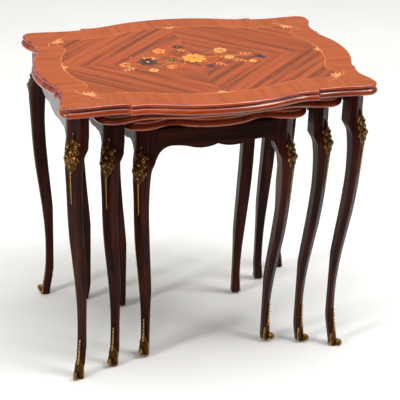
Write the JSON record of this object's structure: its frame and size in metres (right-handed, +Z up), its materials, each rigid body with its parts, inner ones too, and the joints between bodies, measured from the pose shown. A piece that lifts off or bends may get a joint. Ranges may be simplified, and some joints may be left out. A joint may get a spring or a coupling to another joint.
{
  "type": "nesting tables",
  "caption": "Nest of shaped occasional tables with inlaid tops, moulded edges and cabriole legs; each smaller table slides out forwards on side runners.",
  "frame": {"origin": "on the floor, under the centre of the largest table's top", "axes": "+Z up, +X to the right seen from the front, -Y towards the front, the way the smaller tables slide out"},
  "size_m": [0.607, 0.462, 0.56],
  "materials": {
    "core_wood": "satin",
    "moulding_wood": "polished",
    "border_veneer": "polished",
    "inlay_line": "polished",
    "field_veneer": "polished",
    "marquetry_veneer": "polished",
    "frame_wood": "polished",
    "runner_wood": "matt",
    "gilt_brass": "antique satin",
    "screw_steel": "plain"
  },
  "bodies": {
    "large_table": {"large_top_board": "core_wood", "large_edge_moulding": "moulding_wood", "large_crossband": "border_veneer", "large_stringing": "inlay_line", "large_field_veneer": "field_veneer", "large_marquetry": "marquetry_veneer", "large_leg_front_left": "frame_wood", "large_leg_front_right": "frame_wood", "large_leg_back_left": "frame_wood", "large_leg_back_right": "frame_wood", "large_side_apron_left": "frame_wood", "large_side_apron_right": "frame_wood", "large_back_apron": "frame_wood", "large_runner_left": "runner_wood", "large_runner_right": "runner_wood", "large_corner_blocks": "runner_wood", "large_knee_mounts": "gilt_brass", "large_sabots": "gilt_brass", "large_mount_pins": "gilt_brass", "large_top_screws": "screw_steel"},
    "middle_table": {"middle_top_board": "core_wood", "middle_edge_moulding": "moulding_wood", "middle_crossband": "border_veneer", "middle_stringing": "inlay_line", "middle_field_veneer": "field_veneer", "middle_marquetry": "marquetry_veneer", "middle_leg_front_left": "frame_wood", "middle_leg_front_right": "frame_wood", "middle_leg_back_left": "frame_wood", "middle_leg_back_right": "frame_wood", "middle_side_apron_left": "frame_wood", "middle_side_apron_right": "frame_wood", "middle_back_apron": "frame_wood", "middle_runner_left": "runner_wood", "middle_runner_right": "runner_wood", "middle_corner_blocks": "runner_wood", "middle_knee_mounts": "gilt_brass", "middle_sabots": "gilt_brass", "middle_mount_pins": "gilt_brass", "middle_top_screws": "screw_steel"},
    "small_table": {"small_top_board": "core_wood", "small_edge_moulding": "moulding_wood", "small_crossband": "border_veneer", "small_stringing": "inlay_line", "small_field_veneer": "field_veneer", "small_marquetry": "marquetry_veneer", "small_leg_front_left": "frame_wood", "small_leg_front_right": "frame_wood", "small_leg_back_left": "frame_wood", "small_leg_back_right": "frame_wood", "small_side_apron_left": "frame_wood", "small_side_apron_right": "frame_wood", "small_back_apron": "frame_wood", "small_front_apron": "frame_wood", "small_corner_blocks": "runner_wood", "small_knee_mounts": "gilt_brass", "small_sabots": "gilt_brass", "small_mount_pins": "gilt_brass", "small_top_screws": "screw_steel"}
  },
  "joints": [
    {"name": "middle_table_slide", "type": "slide", "parent": "large_table", "child": "middle_table", "axis": [0, -1, 0], "range_m": [0, 0.42]},
    {"name": "small_table_slide", "type": "slide", "parent": "middle_table", "child": "small_table", "axis": [0, -1, 0], "range_m": [-0.014, 0.34]}
  ]
}
